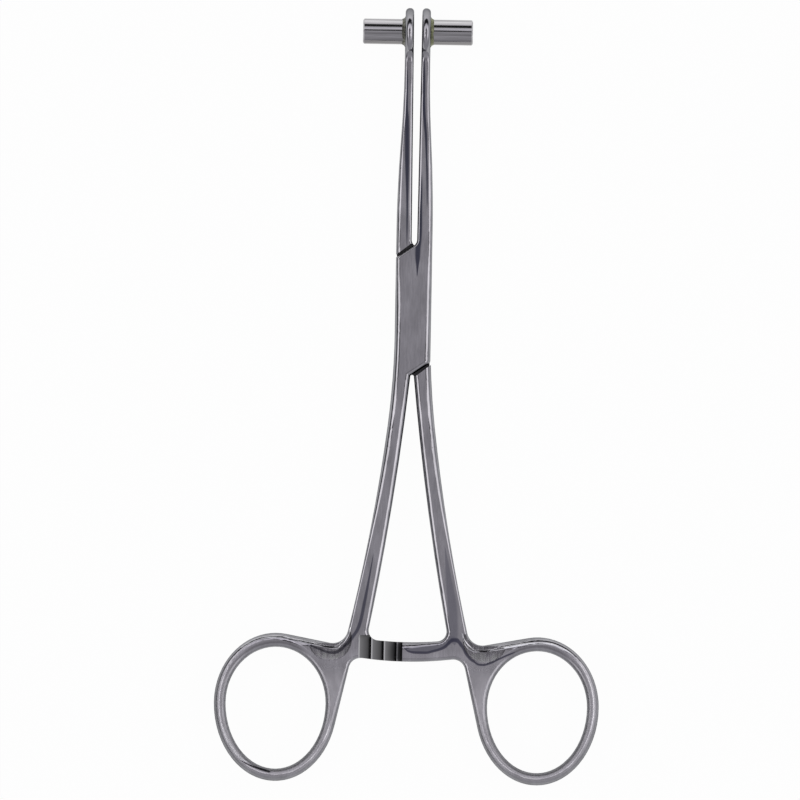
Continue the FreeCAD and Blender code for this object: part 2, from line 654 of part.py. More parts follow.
def long_edges(shape, wanted):
    """Entries (edge number, radius at the start, radius at the end) for the sharp edges
    between the flat faces and the wall of one outline, each along its tangent chain."""
    outer, inner = edge_stations()
    stations = outer if wanted == "outer" else inner
    numbers, edges = [], []
    for index, edge in enumerate(shape.Edges, start=1):
        first = edge.valueAt(edge.FirstParameter)
        last = edge.valueAt(edge.LastParameter)
        middle = edge.valueAt((edge.FirstParameter + edge.LastParameter) / 2)
        across = abs(first.y - last.y) < SAME_LENGTH and abs(first.y - middle.y) < SAME_LENGTH
        at_arm_tip = abs(abs(middle.x) - number("arm_overlap")) < SAME_LENGTH
        if across or at_arm_tip:
            continue
        if outline_of(middle) == wanted and is_sharp(shape, edge, middle):
            numbers.append(index)
            edges.append(edge)
    entries = []
    for place, along in sorted(chain_directions(edges).items()):
        edge = edges[place]
        radii = []
        for parameter in (edge.FirstParameter, edge.LastParameter):
            if wanted == "hole":
                radii.append(number("hole_rounding"))
            else:
                radii.append(nearest_rounding(stations, edge.valueAt(parameter)))
        if not along:
            radii.reverse()
        entries.append((numbers[place], *radii))
    return entries


def nearest_rounding(stations, point):
    """The rounding of the station nearest to a point, seen in plan, either side."""
    def distance(station):
        return math.hypot(station[0] - abs(point.x), station[1] - point.y)
    return min(stations, key=distance)[2]


def round_long_edges(blank):
    """Round the blank's long edges, one outline after another."""
    feature = blank
    for outline in ("outer", "hole", "shank", "jaw"):
        base = feature
        feature = doc.addObject("Part::Fillet", f"{blank.Name}_{outline}_rounding")
        feature.Base = base
        feature.Edges = long_edges(base.Shape, outline)
        doc.recompute()
    return feature


def cut(base, tool, name):
    """The base less the tool."""
    feature = doc.addObject("Part::Cut", name)
    feature.Base = base
    feature.Tool = tool
    return feature


def cylinder(name, radius_name, length_name):
    """A cylinder that stands on the origin."""
    feature = doc.addObject("Part::Cylinder", name)
    feature.setExpression("Radius", expression(radius_name))
    feature.setExpression("Height", expression(length_name))
    return feature


def tube_seat(name, side):
    """The hole through a jaw's tip pad in which its guide tube sits."""
    feature = cylinder(name, "tube_radius", "tube_end_offset")
    turn = FreeCAD.Rotation(FreeCAD.Vector(0, 1, 0), 90 * side)
    feature.Placement = FreeCAD.Placement(FreeCAD.Vector(0, 0, 0), turn)
    feature.setExpression("Placement.Base.y", expression("tube_centre_reach"))
    feature.setExpression("Placement.Base.z", expression("mid_plane"))
    return feature


def notch_flanks(name, side):
    """Two shallow cones that dish the steel round a notch, above and below."""
    flanks = []
    for up in (1, -1):
        cone = doc.addObject("Part::Cone", f"{name}_{'upper' if up > 0 else 'lower'}")
        cone.Radius1 = 0
        cone.setExpression("Radius2", expression("flank_tool_radius"))
        cone.setExpression("Height", expression("flank_tool_height"))
        turn = FreeCAD.Rotation(FreeCAD.Vector(1, 0, 0), 0 if up > 0 else 180)
        cone.Placement = FreeCAD.Placement(FreeCAD.Vector(0, 0, 0), turn)
        cone.setExpression("Placement.Base.x", expression(mirrored("flank_offset", side)))
        cone.setExpression("Placement.Base.y", expression("flank_y"))
        apex = expression(mirrored("flank_apex", up))
        cone.setExpression("Placement.Base.z", f"{expression('mid_plane')} + {apex}")
        flanks.append(cone)
    return flanks


def arm_recess(name, side):
    """The room above the lower ratchet arm (side 1) or below the upper one (side -1):
    its edge toward the arm has the sawtooth form, steep on the side of the box."""
    body = new_body(name)
    sketch = new_sketch(body, f"{name}_outline", "XZ_Plane")
    sketch.setExpression("AttachmentOffset.Base.z", expression("recess_middle"))

    def corner(x_name, z_name):
        return mirrored(x_name, side), mirrored(z_name, side)

    corners = [
        corner("-tooth_recess_offset", "frame_half"),
        corner("-tooth_recess_offset", "-tooth_running_clearance"),
    ]
    for tooth in range(TOOTH_COUNT):
        corners.append(corner(f"tooth_{tooth}_x", "-tooth_root"))
        corners.append(corner(f"tooth_{tooth}_x", "-tooth_running_clearance"))
    corners.append(corner(f"tooth_{TOOTH_COUNT}_x", "-tooth_root"))
    corners.append(corner(f"tooth_{TOOTH_COUNT}_x", "frame_half"))
    draw_outline(sketch, corners)
    pad(body, sketch, f"{name}_room", f"{expression('recess_bottom')} - {expression('tooth_recess_reach')}")
    return body


def box_slot():
    """The room in the box that the tenon sweeps between past closed and wide open. The
    two wedges left beside it carry the box's upper and lower wall."""
    body = new_body("box_slot")
    sketch = new_sketch(body, "box_slot_outline")
    half = [
        ("clear_side", "slot_mouth_y"),
        ("apex_x", "apex_y"),
        ("slot_top_x", "tenon_shoulder_reach"),
        ("slot_root_x", "tenon_root_reach"),
        ("-clear_side", "tenon_root_reach"),
    ]
    opposite = [(mirrored(x, -1), mirrored(y, -1)) for x, y in half]
    draw_outline(sketch, half + opposite)
    pad(body, sketch, "box_slot_room", expression("slot_height"))
    return body


def tenon_surround():
    """What is milled off the through half: the box's whole room between the two
    shoulders, less the tenon."""
    shoulders = new_body("shoulder_room")
    sketch = new_sketch(shoulders, "shoulder_room_outline")
    draw_outline(sketch, [
        ("clear_side", "shoulder_high"),
        ("-clear_side", "shoulder_low"),
        ("-clear_side", "-shoulder_high"),
        ("clear_side", "-shoulder_low"),
    ])
    pad(shoulders, sketch, "shoulder_room_block", expression("blank_thickness"))
    tenon = new_body("tenon")
    sketch = new_sketch(tenon, "tenon_outline")
    half = [
        ("tenon_side", "-tenon_root_reach"),
        ("tenon_side", "tenon_side_y"),
        ("tenon_top_x", "tenon_shoulder_reach"),
        ("-tenon_root_offset", "tenon_root_reach"),
    ]
    opposite = [(mirrored(x, -1), mirrored(y, -1)) for x, y in half]
    draw_outline(sketch, half + opposite)
    pad(tenon, sketch, "tenon_bar", expression("tenon_thickness"))
    return cut(shoulders, tenon, "tenon_surround")


def box_half():
    """The half with the slotted box: right jaw, left shank, lower ratchet arm."""
    half = round_long_edges(forged_blank("box_blank", 1))
    for number_of_cut, flank in enumerate(notch_flanks("left_notch_flank", -1), start=1):
        half = cut(half, flank, f"left_notch_dished_{number_of_cut}")
    half = cut(half, box_slot(), "slotted_box")
    half = cut(half, arm_recess("lower_arm_recess", 1), "lower_arm_toothed")
    half = cut(half, cylinder("box_bore", "pin_radius", "box_thickness"), "bored_box")
    return cut(half, tube_seat("right_tube_seat", 1), "box_half")


def through_half():
    """The half that passes through the box: left jaw, right shank, upper ratchet arm."""
    half = round_long_edges(forged_blank("through_blank", -1))
    for number_of_cut, flank in enumerate(notch_flanks("right_notch_flank", 1), start=1):
        half = cut(half, flank, f"right_notch_dished_{number_of_cut}")
    half = cut(half, tenon_surround(), "milled_tenon")
    half = cut(half, arm_recess("upper_arm_recess", -1), "upper_arm_toothed")
    half = cut(half, cylinder("tenon_bore", "tenon_bore_radius", "box_thickness"), "bored_tenon")
    return cut(half, tube_seat("left_tube_seat", -1), "through_half")


def pivot_pin():
    """The rivet of the joint, ground flush with both faces of the box."""
    body = new_body("pivot_pin")
    sketch = new_sketch(body, "pivot_pin_outline")
    circle = Part.Circle(FreeCAD.Vector(0, 0, 0), FreeCAD.Vector(0, 0, 1), number("pin_radius"))
    sketch.addGeometry(circle, False)
    constrain(sketch, "Coincident", 0, 3, -1, 1)
    constrain(sketch, "Radius", 0, name="pin_radius")
    pad(body, sketch, "pivot_pin_rod", expression("box_thickness"))
    return body


def guide_tube(name, side):
    """An open tube that sits in a jaw's tip pad, its inner end just short of the gap."""
    body = new_body(name)
    body.setExpression("Placement.Base.y", expression("tube_centre_reach"))
    sketch = new_sketch(body, f"{name}_section")
    draw_outline(sketch, [(mirrored(x, side), y) for x, y in (
        ("gap_tip", "bore_radius"),
        ("tube_chamfer_start", "bore_radius"),
        ("tube_end_offset", "mouth_inner_radius"),
        ("tube_end_offset", "mouth_outer_radius"),
        ("tube_chamfer_start", "tube_radius"),
        ("gap_tip", "tube_radius"),
    )])
    revolve(body, sketch, f"{name}_wall", "H_Axis")
    return body


def braze_ring(name, side):
    """The fillet of braze in the corner between a guide tube and its tip pad."""
    body = new_body(name)
    body.setExpression("Placement.Base.y", expression("tube_centre_reach"))
    sketch = new_sketch(body, f"{name}_section")
    draw_outline(sketch, [
        (mirrored("jaw_back_at_tip", side), "tube_radius"),
        (mirrored("braze_end", side), "tube_radius"),
        (mirrored("jaw_back_at_tip", side), "braze_outer_radius", "braze_leg", -side),
    ])
    revolve(body, sketch, f"{name}_fillet", "H_Axis")
    return body


pieces = {
    "box_half": box_half(),
    "through_half": through_half(),
    "pivot_pin": pivot_pin(),
    "right_guide_tube": guide_tube("right_guide_tube", 1),
    "left_guide_tube": guide_tube("left_guide_tube", -1),
    "right_braze_ring": braze_ring("right_braze_ring", 1),
    "left_braze_ring": braze_ring("left_braze_ring", -1),
}
doc.recompute()

# nothing is written unless every object and every piece is sound
for item in doc.Objects:
    if "Invalid" in item.State or "Error" in item.State:
        raise RuntimeError(f"{item.Name} failed: {item.State}")
for label, piece in pieces.items():
    piece.Label = label
    shape = piece.Shape
    if shape.isNull() or not shape.isValid() or len(shape.Solids) != 1:
        raise RuntimeError(f"{label} is not one sound solid")

os.makedirs("parts", exist_ok=True)
for label, piece in pieces.items():
    piece.Shape.exportStep(f"parts/{label}.step")
    print(label, f"{piece.Shape.Volume:.1f} cubic mm, {len(piece.Shape.Faces)} faces")
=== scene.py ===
import math

import bpy
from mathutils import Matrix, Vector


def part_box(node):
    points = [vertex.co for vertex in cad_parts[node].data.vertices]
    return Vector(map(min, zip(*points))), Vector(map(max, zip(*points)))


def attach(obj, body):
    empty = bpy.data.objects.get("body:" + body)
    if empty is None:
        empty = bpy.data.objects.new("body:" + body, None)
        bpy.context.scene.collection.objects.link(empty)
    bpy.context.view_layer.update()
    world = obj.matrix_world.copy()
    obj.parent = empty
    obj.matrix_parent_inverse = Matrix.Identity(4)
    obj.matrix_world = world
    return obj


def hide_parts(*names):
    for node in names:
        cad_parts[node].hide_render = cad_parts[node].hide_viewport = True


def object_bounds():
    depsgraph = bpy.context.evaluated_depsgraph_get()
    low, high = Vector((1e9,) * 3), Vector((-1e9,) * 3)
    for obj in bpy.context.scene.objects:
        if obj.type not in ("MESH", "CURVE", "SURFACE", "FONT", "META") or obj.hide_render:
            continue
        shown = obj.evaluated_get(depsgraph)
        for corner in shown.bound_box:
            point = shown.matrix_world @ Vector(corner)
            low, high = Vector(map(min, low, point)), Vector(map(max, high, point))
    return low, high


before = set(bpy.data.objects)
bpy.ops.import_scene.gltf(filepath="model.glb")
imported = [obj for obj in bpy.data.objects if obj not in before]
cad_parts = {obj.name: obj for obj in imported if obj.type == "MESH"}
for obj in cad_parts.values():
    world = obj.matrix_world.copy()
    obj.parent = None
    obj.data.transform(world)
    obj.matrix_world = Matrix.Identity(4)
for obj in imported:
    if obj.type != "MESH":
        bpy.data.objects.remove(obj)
cad_low, cad_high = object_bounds()

# Camera
# Straight above the instrument, as in the photograph. One pixel of the 800 is 0.205 mm,
# and the picture stands one degree askew, so the instrument leans to the right.
camera_data = bpy.data.cameras.new("camera")
camera_data.type = "ORTHO"
camera_data.ortho_scale = 0.164
camera = bpy.data.objects.new("camera", camera_data)
camera.location = (-0.00238, -0.01849, 0.4)
camera.rotation_euler = (0, 0, math.radians(1.0))
bpy.context.scene.collection.objects.link(camera)
bpy.context.scene.camera = camera
bpy.context.scene.view_settings.view_transform = "Standard"

# Floor
# A sheet of white paper that the pads and the ring ends rest on. The camera and the
# polished steel see it as plain white, with only a trace of the instrument's shadow.


def worked_out(tree, operation, *values):
    """The result of a Math node, from sockets and plain numbers."""
    node = tree.nodes.new("ShaderNodeMath")
    node.operation = operation
    for value, socket in zip(values, node.inputs):
        if isinstance(value, (int, float)):
            socket.default_value = value
        else:
            tree.links.new(value, socket)
    return node.outputs["Value"]


plain_white_share = 0.97
bpy.ops.object.select_all(action="DESELECT")
bpy.ops.mesh.primitive_plane_add(size=3.0, location=(0, 0, cad_low[2]))
floor = bpy.context.object
floor.name = "floor"
paper = bpy.data.materials.new("white_paper")
paper.use_nodes = True
tree = paper.node_tree
paper_shader = tree.nodes["Principled BSDF"]
paper_shader.inputs["Base Color"].default_value = (0.93, 0.93, 0.93, 1)
paper_shader.inputs["Roughness"].default_value = 0.9
paper_shader.inputs["Specular IOR Level"].default_value = 0.1
white = tree.nodes.new("ShaderNodeEmission")
ray = tree.nodes.new("ShaderNodeLightPath").outputs
seen_or_mirrored = worked_out(tree, "MAXIMUM", ray["Is Camera Ray"], ray["Is Glossy Ray"])
seen = worked_out(tree, "MAXIMUM", seen_or_mirrored, ray["Is Transmission Ray"])
paper_look = tree.nodes.new("ShaderNodeMixShader")
tree.links.new(worked_out(tree, "MULTIPLY", seen, plain_white_share), paper_look.inputs["Fac"])
tree.links.new(paper_shader.outputs["BSDF"], paper_look.inputs[1])
tree.links.new(white.outputs["Emission"], paper_look.inputs[2])
tree.links.new(paper_look.outputs["Shader"], tree.nodes["Material Output"].inputs["Surface"])
floor.data.materials.append(paper)

# Light tent
# White cloth all round, with a dim opening overhead for the camera and a dark rim to it.
# Flat steel mirrors the opening as mid grey, and a rounded edge the rim and bright cloth.


def split(tree, vector):
    """The X, Y and Z of a vector, as sockets by name."""
    node = tree.nodes.new("ShaderNodeSeparateXYZ")
    tree.links.new(vector, node.inputs["Vector"])
    return node.outputs


def step(tree, value, start, end, low=0.0, high=1.0, smooth=True):
    """A value that goes from low at start to high at end, and keeps level beyond."""
    node = tree.nodes.new("ShaderNodeMapRange")
    if smooth:
        node.interpolation_type = "SMOOTHSTEP"
    node.inputs["From Min"].default_value = start
    node.inputs["From Max"].default_value = end
    node.inputs["To Min"].default_value = low
    node.inputs["To Max"].default_value = high
    tree.links.new(value, node.inputs["Value"])
    return node.outputs["Result"]


def ramp(tree, value, stops):
    """A colour ramp through stops, each a place from 0 to 1 and a colour."""
    node = tree.nodes.new("ShaderNodeValToRGB")
    elements = node.color_ramp.elements
    elements[0].position, elements[1].position = stops[0][0], stops[-1][0]
    elements[0].color, elements[1].color = (*stops[0][1], 1), (*stops[-1][1], 1)
    for stop, tone in stops[1:-1]:
        elements.new(stop).color = (*tone, 1)
    tree.links.new(value, node.inputs["Fac"])
    return node.outputs["Color"]


def mixed(tree, share, first, second):
    """One colour turned into another by a share. The second may be a plain colour."""
    node = tree.nodes.new("ShaderNodeMix")
    node.data_type = "RGBA"
    tree.links.new(share, node.inputs[0])
    tree.links.new(first, node.inputs[6])
    if isinstance(second, tuple):
        node.inputs[7].default_value = (*second, 1)
    else:
        tree.links.new(second, node.inputs[7])
    return node.outputs[2]


world = bpy.data.worlds.new("light_tent")
bpy.context.scene.world = world
world.use_nodes = True
tree = world.node_tree
parts = split(tree, tree.nodes.new("ShaderNodeTexCoord").outputs["Generated"])
from_zenith = worked_out(tree, "ARCCOSINE", parts["Z"])
quarter_turns = worked_out(tree, "DIVIDE", from_zenith, math.pi / 2)
level_part = worked_out(tree, "SINE", from_zenith)
compass = {axis: worked_out(tree, "DIVIDE", parts[axis], level_part) for axis in ("X", "Y")}

# the brightness by the angle in degrees from overhead, even toward the handles and with a
# dark seam toward the tips and lower down on the left
cloth = {
    "sides": [(0, 0.42), (6, 0.40), (8.5, 0.10), (19, 0.10), (25, 1.3), (47, 1.4), (56, 0.62),
              (73, 0.45), (90, 0.55)],
    "left": [(0, 0.42), (6, 0.40), (8.5, 0.10), (19, 0.10), (25, 1.3), (44, 1.4), (51, 0.35),
             (56, 0.10), (72, 0.10), (79, 0.40), (90, 0.50)],
    "tips": [(0, 0.42), (6, 0.40), (8, 0.05), (16, 0.06), (20, 0.80), (37, 0.90), (44, 0.30),
             (47, 0.02), (67, 0.02), (73, 1.0), (90, 1.0)],
    "handles": [(0, 0.42), (6, 0.40), (10, 0.32), (22, 0.28), (34, 0.42), (45, 0.52), (75, 0.5),
                (90, 0.55)],
}
# where each wall stands: its axis, where it starts and where it is whole
corners = {"left": ("X", -0.2, -0.5), "tips": ("Y", 0.45, 0.9), "handles": ("Y", -0.45, -0.9)}
walls = {}
for toward, stops in cloth.items():
    tones = []
    for angle, level in stops:
        blue_share = 1.05 if level < 1 else 1.01
        tones.append((angle / 90, (level, level * 0.99, level * blue_share)))
    walls[toward] = ramp(tree, quarter_turns, tones)
light = walls["sides"]
for toward, (axis, start, whole) in corners.items():
    light = mixed(tree, step(tree, compass[axis], start, whole), light, walls[toward])
tree.links.new(light, tree.nodes["Background"].inputs["Color"])

# The two forged halves
# Drop forged stainless steel, with a satin grain ground along the flats and edges buffed bright.
# Dark blue reflection streaks are painted along the jaws, and milling has left the teeth dull.

# where the ratchet arms, the notches and the finger rings lie, in metres
mid_plane = 0.0028
arm_half_length = 0.0101
arm_near, arm_far = -0.0660, -0.0740
tooth_room = 0.00095
notch_x, notch_y = 0.0159, -0.0680
ring_x, ring_y = 0.0268, -0.0810
ring_half_width = 0.01265
ring_upper_height, ring_lower_height = 0.01435, 0.0160
# the colours of the marks, all painted: dark blue reflection streaks, dark reflection lines, soft shade,
# highlight lines and black shade
blue_reflection, dark_reflection_line, shade = (0.055, 0.06, 0.10), (0.075, 0.075, 0.12), (0.27, 0.265, 0.31)
bright, black = (0.92, 0.92, 0.94), (0.012, 0.012, 0.016)


def noise(tree, place, scale, offset=(0, 0, 0), detail=3.0, roughness=0.5, lacunarity=2.0):
    """Noise whose lumps per metre are given for each axis."""
    mapping = tree.nodes.new("ShaderNodeMapping")
    mapping.inputs["Location"].default_value = offset
    mapping.inputs["Scale"].default_value = scale
    tree.links.new(place, mapping.inputs["Vector"])
    node = tree.nodes.new("ShaderNodeTexNoise")
    node.inputs["Scale"].default_value = 1.0
    node.inputs["Detail"].default_value = detail
    node.inputs["Roughness"].default_value = roughness
    node.inputs["Lacunarity"].default_value = lacunarity
    tree.links.new(mapping.outputs["Vector"], node.inputs["Vector"])
    return node.outputs["Fac"]


def product(tree, *values):
    """All the values multiplied together."""
    result = values[0]
    for value in values[1:]:
        result = worked_out(tree, "MULTIPLY", result, value)
    return result


def scaled(tree, colour, share):
    """A colour made brighter or darker."""
    node = tree.nodes.new("ShaderNodeVectorMath")
    node.operation = "SCALE"
    tree.links.new(colour, node.inputs[0])
    tree.links.new(share, node.inputs["Scale"])
    return node.outputs["Vector"]


def bump(tree, height, strength, distance, under=None):
    """The surface's normal, tilted by a height. One bump may lie on another, under it."""
    node = tree.nodes.new("ShaderNodeBump")
    if isinstance(strength, float):
        node.inputs["Strength"].default_value = strength
    else:
        tree.links.new(strength, node.inputs["Strength"])
    node.inputs["Distance"].default_value = distance
    tree.links.new(height, node.inputs["Height"])
    if under:
        tree.links.new(under, node.inputs["Normal"])
    return node.outputs["Normal"]


def blend(tree, share, first, second):
    """A number between the first and the second, each a socket or a plain number."""
    node = tree.nodes.new("ShaderNodeMix")
    node.data_type = "FLOAT"
    tree.links.new(share, node.inputs[0])
    for value, socket in ((first, node.inputs[2]), (second, node.inputs[3])):
        if isinstance(value, float):
            socket.default_value = value
        else:
            tree.links.new(value, socket)
    return node.outputs[0]


def length(tree, across, along):
    """How long the line is that goes so far across and so far along."""
    squares = worked_out(tree, "ADD", product(tree, across, across), product(tree, along, along))
    return worked_out(tree, "SQRT", squares)


def between(tree, value, low, high):
    """One between two places in metres, and how far the value is from their middle."""
    from_middle = worked_out(tree, "ABSOLUTE", worked_out(tree, "SUBTRACT", value, (low + high) / 2))
    reach = (high - low) / 2
    return step(tree, from_middle, reach, reach - 0.00005, smooth=False), from_middle


def band(tree, where, axis, rows, strength):
    """How much a point lies on a band along an axis, and the band's half width. A row is how
    far along, how far across and half width, in mm."""
    first, last = rows[0][0], rows[-1][0]
    low = min(across for _, across, _ in rows) - 0.5
    high = max(across for _, across, _ in rows) + 0.5
    course = tree.nodes.new("ShaderNodeRGBCurve")
    knots = [[((along - first) / (last - first), (across - low) / (high - low))
              for along, across, _ in rows],
             [((along - first) / (last - first), half_width) for along, _, half_width in rows]]
    for curve, points in zip(course.mapping.curves, knots):
        curve.points[0].location = points[0]
        curve.points[1].location = points[-1]
        for point in points[1:-1]:
            curve.points.new(*point)
        for knot in curve.points:
            knot.handle_type = "AUTO_CLAMPED"
    course.mapping.update()
    along_it = step(tree, where[axis], first / 1000, last / 1000, smooth=False)
    tree.links.new(along_it, course.inputs["Color"])
    read = tree.nodes.new("ShaderNodeSeparateColor")
    tree.links.new(course.outputs["Color"], read.inputs["Color"])
    centre = step(tree, read.outputs["Red"], 0.0, 1.0, low / 1000, high / 1000, smooth=False)
    half_width = step(tree, read.outputs["Green"], 0.0, 1.0, 0.00001, 0.001, smooth=False)
    off_line = worked_out(tree, "SUBTRACT", where["Y" if axis == "X" else "X"], centre)
    ratio = worked_out(tree, "DIVIDE", worked_out(tree, "ABSOLUTE", off_line), half_width)
    return step(tree, ratio, 0.6, 1.3, strength, 0.0), half_width


def satin_steel(name, seed, marks):
    """Polished stainless steel with a satin grain along Y where it is flat, and painted light and shade. A
    mark is a band of painted reflection, highlight or shade on it: its axis, colour, strength and rows."""
    material = bpy.data.materials.new(name)
    material.use_nodes = True
    tree = material.node_tree
    shader = tree.nodes["Principled BSDF"]
    shader.inputs["Metallic"].default_value = 1.0
    shader.inputs["Specular Tint"].default_value = (0.45, 0.45, 0.46, 1)
    place = tree.nodes.new("ShaderNodeTexCoord").outputs["Object"]
    where = split(tree, place)
    from_middle = worked_out(tree, "ABSOLUTE", where["X"])
    grain = noise(tree, place, (3600, 330, 1300), (seed, 0, 0), 4.0, 0.6, 2.3)
    cloud = noise(tree, place, (480, 170, 480), (0, seed, 0), 4.0, 0.5, 2.3)
    normal = split(tree, tree.nodes.new("ShaderNodeNewGeometry").outputs["Normal"])
    upward = worked_out(tree, "ABSOLUTE", normal["Z"])
    flat = step(tree, upward, 0.96, 0.995, smooth=False)

    # colour: violet grey on the flats, with painted shade that turns it cooler and darker down the flanks
    # and in the seams
    steel_with_painted_flank_shade = ramp(tree, upward, [
        (0.0, (0.25, 0.25, 0.265)),
        (0.6, (0.31, 0.31, 0.325)),
        (0.9, (0.42, 0.415, 0.435)),
        (0.985, (0.50, 0.485, 0.515)),
    ])
    mottle = step(tree, cloud, 0.3, 0.7, 0.86, 1.12, smooth=False)
    # painted shade: the colour darkens where other surfaces hem the steel in, in seams, gaps and hollows
    open_to_air = tree.nodes.new("ShaderNodeAmbientOcclusion")
    open_to_air.samples = 8
    open_to_air.inputs["Distance"].default_value = 0.0016
    painted_crevice_shade = step(tree, open_to_air.outputs["AO"], 0.25, 0.85, 0.06, 1.0)
    satin_depth = product(tree, flat, step(tree, where["Y"], -0.076, -0.070))
    satin_tone = worked_out(tree, "MULTIPLY_ADD", step(tree, grain, 0.36, 0.64, -0.08, 0.08),
                            satin_depth, 1.0)

    # painted light: the flats at the ends of the handles, and the dish of each notch, are made brighter in
    # colour
    handle_end_flat = product(tree, step(tree, where["Y"], -0.0692, -0.0712), flat)
    end_painted_light = worked_out(tree, "MULTIPLY_ADD", handle_end_flat, 0.26, 1.0)
    to_notch = length(tree, worked_out(tree, "SUBTRACT", from_middle, notch_x),
                      worked_out(tree, "SUBTRACT", where["Y"], notch_y))
    tilted = worked_out(tree, "SUBTRACT", 1.0, step(tree, upward, 0.9985, 0.9998))
    in_notch = product(tree, step(tree, to_notch, 0.0044, 0.0038), step(tree, upward, 0.90, 0.97),
                       tilted)
    notch_painted_light = worked_out(tree, "MULTIPLY_ADD", in_notch, 0.75, 1.0)

    # the finger rings have a light ridge just inside their rims, between two dark lines: a bump raises it a
    # little, and its light and dark lines are painted into the colour
    past_centre = worked_out(tree, "SUBTRACT", where["Y"], ring_y)
    above = worked_out(tree, "GREATER_THAN", past_centre, 0.0)
    ring_height = worked_out(tree, "MULTIPLY_ADD", above, ring_upper_height - ring_lower_height,
                             ring_lower_height)
    beside_centre = worked_out(tree, "SUBTRACT", from_middle, ring_x)
    out_from_centre = length(tree, worked_out(tree, "DIVIDE", beside_centre, ring_half_width),
                             worked_out(tree, "DIVIDE", past_centre, ring_height))
    inside_rim = worked_out(tree, "SUBTRACT", 1.0, out_from_centre)
    wander = worked_out(tree, "MULTIPLY_ADD", cloud, 0.03, -0.015)
    ridge_stops = [(0.060, 0.5), (0.072, 0.36), (0.084, 0.94), (0.095, 0.52), (0.112, 0.45),
                   (0.126, 0.30), (0.145, 0.43), (0.175, 0.5)]
    ridge = ramp(tree, worked_out(tree, "ADD", inside_rim, wander),
                 [(stop, (level, level, level)) for stop, level in ridge_stops])
    on_ring = worked_out(tree, "MAXIMUM", step(tree, from_middle, 0.019, 0.023),
                         step(tree, where["Y"], -0.082, -0.087))
    ridge_share = product(tree, on_ring, step(tree, cloud, 0.32, 0.55, 0.6, 1.0))
    ridge_height = product(tree, worked_out(tree, "SUBTRACT", ridge, 0.5), ridge_share)
    ridge_painted_light_and_shade = worked_out(tree, "MULTIPLY_ADD", ridge_height, 2.0, 1.0)
    tone = scaled(tree, steel_with_painted_flank_shade, product(tree, mottle, painted_crevice_shade, satin_tone, end_painted_light, notch_painted_light,
                                       ridge_painted_light_and_shade))

    # painted dark blue reflection streaks, painted dark lines and highlight lines where the grinding stops,
    # and painted black shade; a bump raises the highlight lines a little
    raised = product(tree, ridge_height, 0.3)
    upper_side = step(tree, upward, 0.72, 0.86)
    for axis, mark_colour, strength, rows in marks:
        on_band, half_width = band(tree, where, axis, rows, strength)
        drawn_on = upper_side if mark_colour in (bright, black) else flat
        on_face = product(tree, on_band, drawn_on, step(tree, half_width, 0.00002, 0.00008))
        tone = mixed(tree, on_face, tone, mark_colour)
        if mark_colour == bright:
            raised = worked_out(tree, "ADD", raised, on_face)

    # the teeth: milled and left dull, with painted shade that deepens down toward their roots
    arm_x, _ = between(tree, where["X"], -arm_half_length, arm_half_length)
    arm_y, _ = between(tree, where["Y"], arm_far, arm_near)
    arm_z, depth = between(tree, where["Z"], mid_plane - tooth_room, mid_plane + tooth_room)
    milled = product(tree, arm_x, arm_y, arm_z)
    root_shade_stops = [(0.0, (0.38, 0.38, 0.39))]
    for stop, level in ((0.08, 0.38), (0.12, 0.17), (0.40, 0.12), (0.80, 0.06)):
        root_shade_stops.append((stop, (level, level, level * 1.02)))
    root_shade_stops.append((1.0, (0.012, 0.012, 0.014)))
    painted_root_shade = ramp(tree, step(tree, depth, 0.00003, 0.0009, smooth=False), root_shade_stops)
    tree.links.new(mixed(tree, milled, tone, painted_root_shade), shader.inputs["Base Color"])

    # finish: satin flats, buffed edges, softer on the finger rings and dull on the teeth
    satin = step(tree, grain, 0.3, 0.7, 0.10, 0.17, smooth=False)
    finish = blend(tree, flat, 0.08, satin)
    finish = blend(tree, step(tree, where["Y"], -0.069, -0.078), finish, 0.40)
    tree.links.new(blend(tree, milled, finish, 0.38), shader.inputs["Roughness"])
    ridges = bump(tree, raised, 1.0, 0.00006)
    scratch_strength = product(tree, flat, step(tree, where["Y"], -0.078, -0.072, 0.0, 0.25))
    scratches = bump(tree, grain, scratch_strength, 0.00002, ridges)
    tree.links.new(bump(tree, cloud, 0.3, 0.0001, scratches), shader.inputs["Normal"])
    return material


